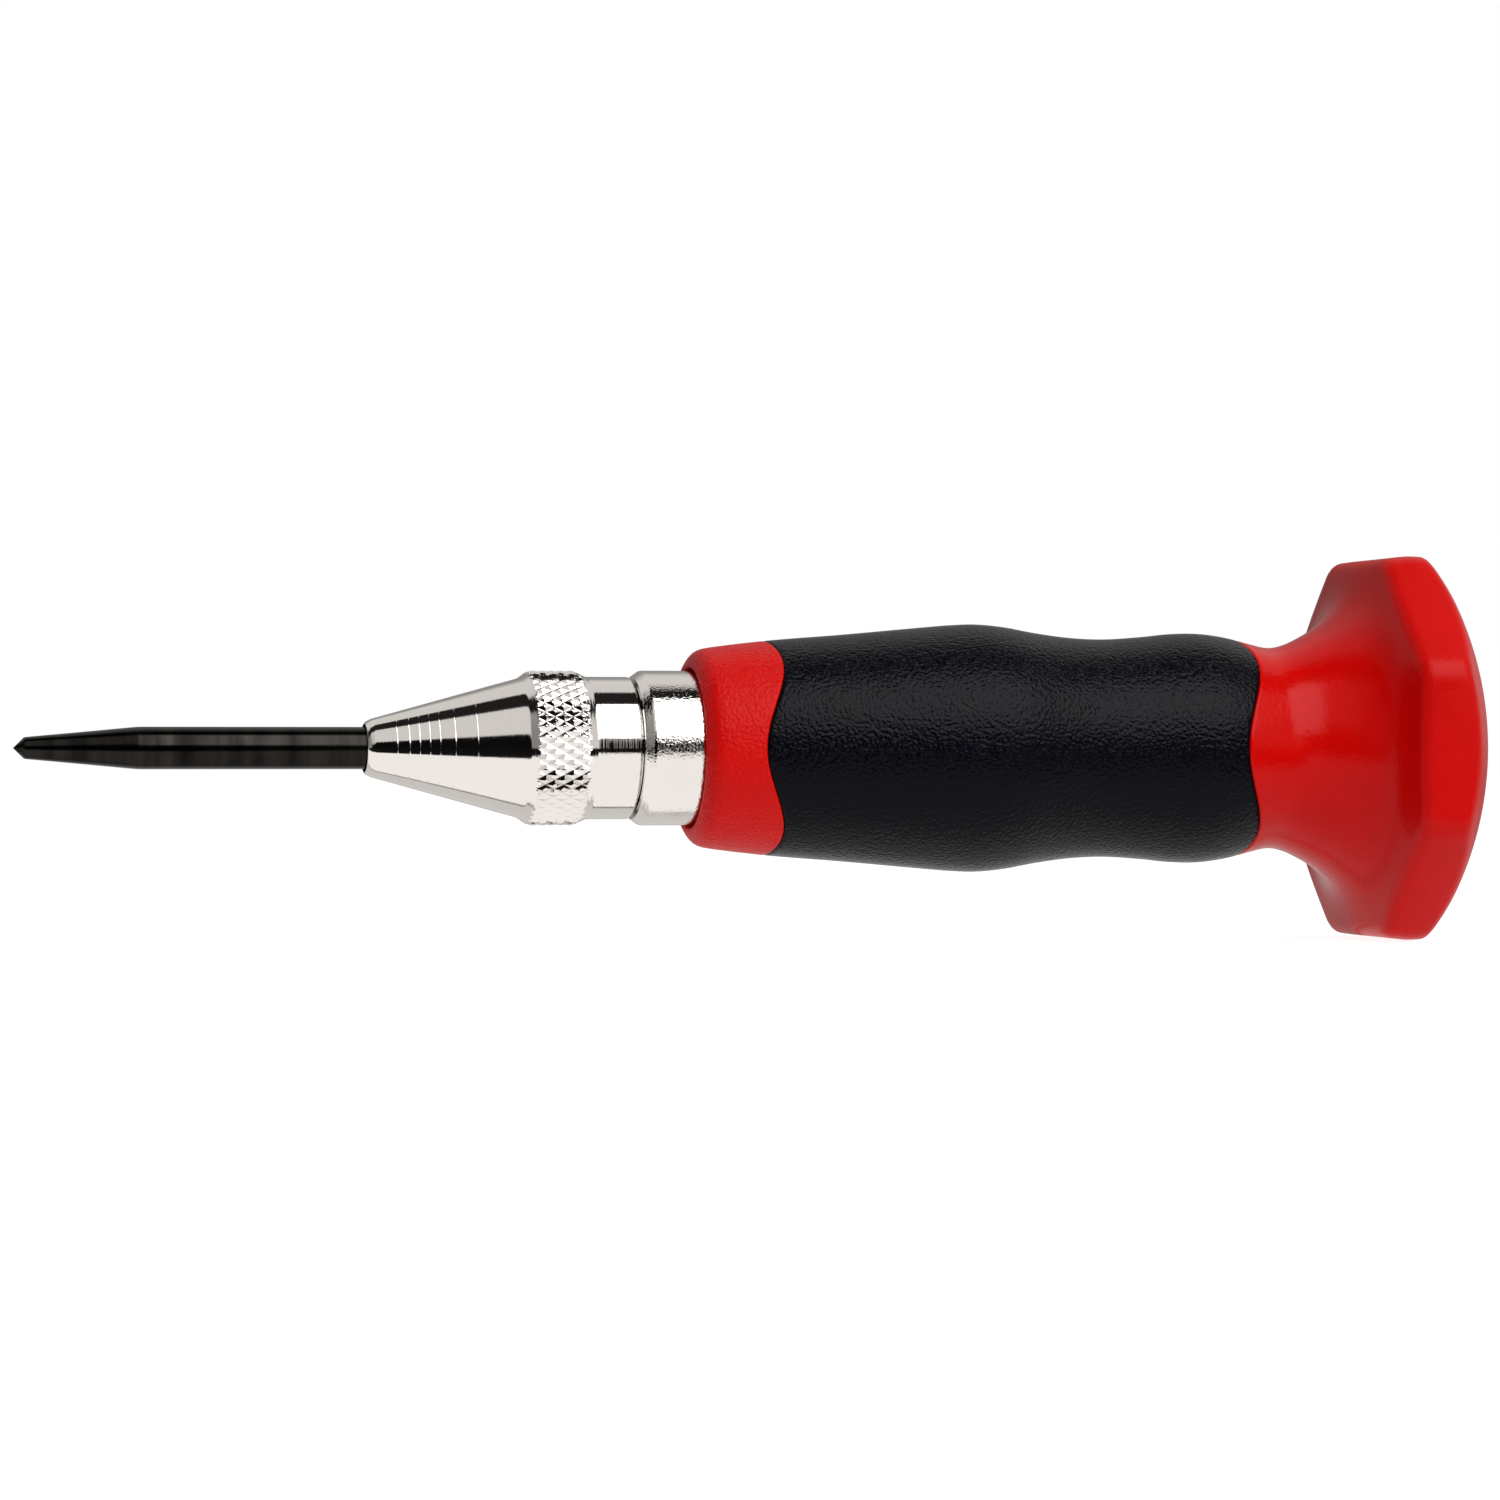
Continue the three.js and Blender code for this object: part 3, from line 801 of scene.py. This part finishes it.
def leather_grain(wiring):
    spot = wiring.node("ShaderNodeTexCoord", output="Object")
    pebbles = wiring.node(
        "ShaderNodeTexVoronoi",
        {"feature": "SMOOTH_F1"},
        {"Vector": spot, "Scale": 2500.0, "Smoothness": 0.3},
    )
    wrinkles = wiring.noise(2700, 4.0)
    skin = (1 - pebbles) * 0.5 + wrinkles * 0.7
    wear = wiring.noise(300, 3.0)
    return {
        "Base Color": mixed(wiring, wear, (0.0001, 0.0002, 0.0012), (0.0004, 0.0008, 0.0036)),
        "Specular IOR Level": 0.09,
        "Roughness": 0.11 + wear * 0.05,
        "Normal": bumped(wiring, skin, 1.35e-4),
    }


black_grip = finished("black_grip", leather_grain)
finish(sleeve, black_grip, "handle", ["grip_sleeve"], sharp=50)

# ---------------------------------------------------------------- springs
# Three springs do the tool's work: a coil returns the bit, a heavy coil drives the hammer, and a bowed leaf
# pushes the catch off centre. All are spring steel.


def spring_steel_finish(wiring):
    scale = wiring.noise(700, 3.0)
    drawn = wiring.noise(6000, 1.0)
    return {
        "Base Color": mixed(wiring, scale, (0.10, 0.095, 0.10), (0.19, 0.18, 0.175)),
        "Metallic": 1.0,
        "Roughness": 0.25 + scale * 0.15,
        "Normal": bumped(wiring, drawn, 2e-6),
    }


spring_steel = finished("spring_steel", spring_steel_finish)


WIRE_SIDES = 14
STEPS_IN_TURN = 28


def coil(name, start, end, radius, turns, wire):
    """A compression spring with closed end turns, from one station to the other."""
    steps = turns * STEPS_IN_TURN
    bpy.ops.object.select_all(action="DESELECT")
    bpy.ops.mesh.primitive_circle_add(vertices=WIRE_SIDES, radius=wire / 2000)
    piece = bpy.context.object
    piece.name = piece.data.name = name
    bpy.ops.object.mode_set(mode="EDIT")
    bpy.ops.mesh.select_all(action="SELECT")
    bpy.ops.transform.rotate(value=math.pi / 2, orient_axis="X", center_override=(0, 0, 0))
    bpy.ops.transform.translate(value=place(start + wire / 2, radius))
    bpy.ops.object.mode_set(mode="OBJECT")
    screw = piece.modifiers.new("coil", "SCREW")
    screw.axis = "X"
    screw.angle = 2 * math.pi * turns
    screw.screw_offset = (end - start - wire) / 1000
    screw.steps = screw.render_steps = steps
    screw.use_smooth_shade = True
    bpy.ops.object.modifier_apply(modifier=screw.name)
    flat = np.zeros(len(piece.data.vertices) * 3)
    piece.data.vertices.foreach_get("co", flat)
    spots = flat.reshape(-1, 3)
    turn_number = np.repeat(np.arange(steps + 1), WIRE_SIDES) / steps * turns
    closed = wire * 1.06
    open_pitch = (end - start - wire - 2 * closed) / (turns - 2)
    first = np.minimum(turn_number, 1) * closed
    middle = np.clip(turn_number - 1, 0, turns - 2) * open_pitch
    last = np.maximum(turn_number - (turns - 1), 0) * closed
    even = turn_number / turns * (end - start - wire)
    spots[:, 0] += (first + middle + last - even) / 1000
    piece.data.vertices.foreach_set("co", spots.ravel())
    bpy.ops.object.mode_set(mode="EDIT")
    bpy.ops.mesh.select_all(action="DESELECT")
    bpy.ops.mesh.select_mode(type="EDGE")
    bpy.ops.mesh.select_non_manifold()
    bpy.ops.mesh.fill_holes(sides=0)
    bpy.ops.mesh.select_all(action="SELECT")
    bpy.ops.mesh.normals_make_consistent(inside=False)
    bpy.ops.object.mode_set(mode="OBJECT")
    return piece


return_coil = coil("return_coil", 58.3, 72, 3.4, 6, 0.7)
finish(return_coil, spring_steel, "barrel", ["return_spring"])
place(72, 0)
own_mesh(return_coil)

main_coil = coil("main_coil", 109.3, 143.2, 4.2, 11, 1.4)
finish(main_coil, spring_steel, "seat", ["main_spring"])
place(143.2, 0)
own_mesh(main_coil)

# The catch's leaf lies on the floor of the hammer's slot, bowed up towards the catch.
LEAF_LENGTH = 2.4
LEAF_WIDTH = 6.4
LEAF_THICKNESS = 0.25
LEAF_BOW = 0.85
LEAF_FLOOR = -3.8
LEAF_STATION = 83.8
bpy.ops.object.select_all(action="DESELECT")
bpy.ops.mesh.primitive_grid_add(x_subdivisions=2, y_subdivisions=24, size=0.001)
leaf = bpy.context.object
leaf.name = leaf.data.name = "leaf_spring"
bpy.ops.object.mode_set(mode="EDIT")
bpy.ops.mesh.select_all(action="SELECT")
bpy.ops.transform.resize(value=(LEAF_LENGTH, LEAF_WIDTH, 1), center_override=(0, 0, 0))
bpy.ops.transform.translate(value=place(LEAF_STATION, LEAF_FLOOR + LEAF_THICKNESS / 2))
bpy.ops.object.mode_set(mode="OBJECT")
for corner in leaf.data.vertices:
    corner.co.z += LEAF_BOW / 1000 * (1 - (corner.co.y * 2000 / LEAF_WIDTH) ** 2)
wall = leaf.modifiers.new("wall", "SOLIDIFY")
wall.thickness = LEAF_THICKNESS / 1000
wall.offset = 0
bpy.ops.object.modifier_apply(modifier=wall.name)
edges = leaf.modifiers.new("edges", "BEVEL")
edges.width = 0.00005
edges.segments = 2
bpy.ops.object.modifier_apply(modifier=edges.name)
finish(leaf, spring_steel, "striker", ["trip_spring"])
place(83.8, LEAF_FLOOR)
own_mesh(leaf)

# ---------------------------------------------------------------- inner works
# The holder, rod, bush, hammer, catch, seat, ball and plate are hardened steel, the insert is brass and the
# O-ring is rubber. They keep their shapes from the frame. The nodes that a piece above stands for get its
# finish too.


def ground_steel_finish(wiring):
    marks = round_marks(wiring, 0.00015)
    bluing = wiring.noise(350, 3.0)
    return {
        "Base Color": mixed(wiring, bluing, (0.24, 0.25, 0.26), (0.40, 0.39, 0.375)),
        "Metallic": 1.0,
        "Roughness": 0.24 + bluing * 0.14,
        "Normal": bumped(wiring, marks, 2.5e-6),
    }


def rubber(wiring):
    bloom = wiring.noise(500, 3.0)
    return {
        "Base Color": mixed(wiring, bloom, (0.006, 0.006, 0.006), (0.016, 0.016, 0.015)),
        "Roughness": 0.5 + bloom * 0.2,
        "Normal": bumped(wiring, wiring.noise(4000), 5e-6),
    }


def turned_brass(wiring):
    tarnish = wiring.noise(300, 3.0)
    return {
        "Base Color": mixed(wiring, tarnish, (0.62, 0.40, 0.13), (0.72, 0.52, 0.22)),
        "Metallic": 1.0,
        "Roughness": 0.22 + tarnish * 0.15,
        "Normal": bumped(wiring, round_marks(wiring, 0.0002), 2.5e-6),
    }


hardened_steel = finished("hardened_steel", ground_steel_finish)
seal_rubber = finished("seal_rubber", rubber)
brass = finished("brass", turned_brass)
node_finishes = {
    hardened_steel: [
        "bit_holder",
        "striker_rod",
        "guide_bush",
        "hammer",
        "trip_block",
        "spring_seat",
        "thrust_ball",
        "thrust_plate",
    ],
    black_oxide: ["punch_bit", "bit_set_screw"],
    turned_nickel: ["nose_cone"],
    barrel_nickel: ["body_tube"],
    seal_rubber: ["nose_o_ring"],
    brass: ["threaded_insert"],
    spring_steel: ["return_spring", "main_spring", "trip_spring", "stop_ring"],
    red_plastic: ["handle_core"],
    black_grip: ["grip_sleeve"],
}
for node_finish, node_names in node_finishes.items():
    for node_name in node_names:
        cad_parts[node_name].data.materials.clear()
        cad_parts[node_name].data.materials.append(node_finish)
